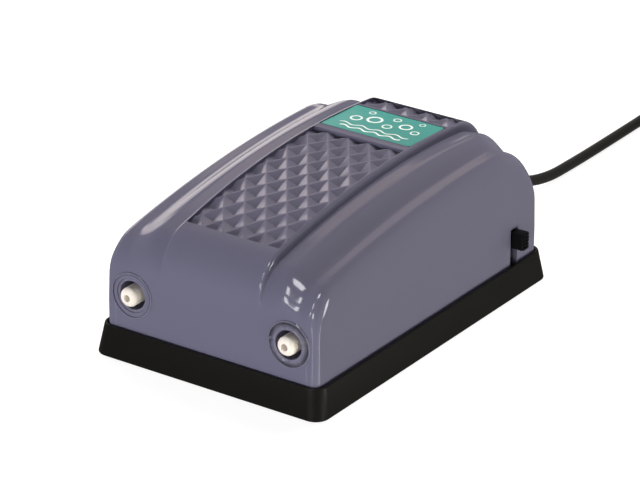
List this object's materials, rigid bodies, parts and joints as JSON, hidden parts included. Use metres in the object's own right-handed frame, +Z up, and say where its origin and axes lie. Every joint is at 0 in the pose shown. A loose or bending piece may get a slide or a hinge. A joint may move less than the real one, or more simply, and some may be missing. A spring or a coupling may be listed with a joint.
{
  "type": "aquarium air pump",
  "caption": "Low rectangular aquarium air pump with a ridged slate-grey shell, a diamond-patterned top, front air outlets, a side slide control and a rubber boot, with its mains cord coiled.",
  "frame": {"origin": "middle of the rubber boot's underside, on the surface the pump stands on", "axes": "+Z up, +Y to the rear along the pump's length, where the cord leaves, +X to the right seen from the outlets"},
  "size_m": [0.0937, 0.3078, 0.0494],
  "materials": {
    "housing_plastic": "glossy",
    "boot_rubber": "satin",
    "cord_rubber": "satin",
    "black_plastic": "matte",
    "ivory_plastic": "satin",
    "grey_plastic": "matte",
    "label_teal": "satin",
    "soft_rubber": "matte",
    "steel": "brushed",
    "core_steel": "satin",
    "magnet_ferrite": "matte",
    "winding_copper": "satin",
    "filter_felt": "matte",
    "lead_sleeving": "satin"
  },
  "bodies": {
    "pump": {"upper_housing": "housing_plastic", "label_plate": "label_teal", "rubber_boot": "boot_rubber", "base_plate": "grey_plastic", "housing_screw_front_left": "steel", "housing_screw_front_right": "steel", "housing_screw_rear_left": "steel", "housing_screw_rear_right": "steel", "laminated_core": "core_steel", "coil_bobbin": "ivory_plastic", "coil_winding": "winding_copper", "core_clamp": "steel", "core_screw_left": "steel", "core_screw_right": "steel", "pivot_bracket": "grey_plastic", "pivot_pin_left": "steel", "pivot_pin_right": "steel", "valve_chamber_left": "grey_plastic", "valve_chamber_right": "grey_plastic", "diaphragm_ring_left": "grey_plastic", "diaphragm_ring_right": "grey_plastic", "diaphragm_left": "soft_rubber", "diaphragm_right": "soft_rubber", "valve_plate_left": "ivory_plastic", "valve_plate_right": "ivory_plastic", "inlet_flap_left": "soft_rubber", "inlet_flap_right": "soft_rubber", "outlet_flap_left": "soft_rubber", "outlet_flap_right": "soft_rubber", "outlet_nozzle_left": "ivory_plastic", "outlet_nozzle_right": "ivory_plastic", "control_body": "black_plastic", "air_filter": "filter_felt", "coil_lead": "lead_sleeving", "mains_lead": "lead_sleeving", "cord_strain_relief": "boot_rubber", "mains_cord": "cord_rubber", "cord_coil": "cord_rubber", "cord_tail": "cord_rubber", "cord_tie": "black_plastic", "plug_body": "cord_rubber", "plug_pin_left": "steel", "plug_pin_right": "steel"},
    "left_arm": {"swing_arm_left": "grey_plastic", "arm_magnet_left": "magnet_ferrite", "diaphragm_screw_left": "steel"},
    "right_arm": {"swing_arm_right": "grey_plastic", "arm_magnet_right": "magnet_ferrite", "diaphragm_screw_right": "steel"},
    "control": {"control_knob": "black_plastic", "control_slider": "ivory_plastic"}
  },
  "joints": [
    {"name": "left_arm_swing", "type": "hinge", "parent": "pump", "child": "left_arm", "pos_m": [-0.009, -0.0455, 0.0198], "axis": [0, 0, 1], "range_deg": [-2, 2], "stiffness_Nm_per_rad": 0.3, "deforming": ["diaphragm_left"]},
    {"name": "right_arm_swing", "type": "hinge", "parent": "pump", "child": "right_arm", "pos_m": [0.009, -0.0455, 0.0198], "axis": [0, 0, 1], "range_deg": [-2, 2], "stiffness_Nm_per_rad": 0.3, "deforming": ["diaphragm_right"]},
    {"name": "output_control_slide", "type": "slide", "parent": "pump", "child": "control", "axis": [0, 0, 1], "range_m": [-0.0048, 0]}
  ],
  "couplings": [
    {"joint": "right_arm_swing", "follows": "left_arm_swing", "ratio": -1}
  ]
}
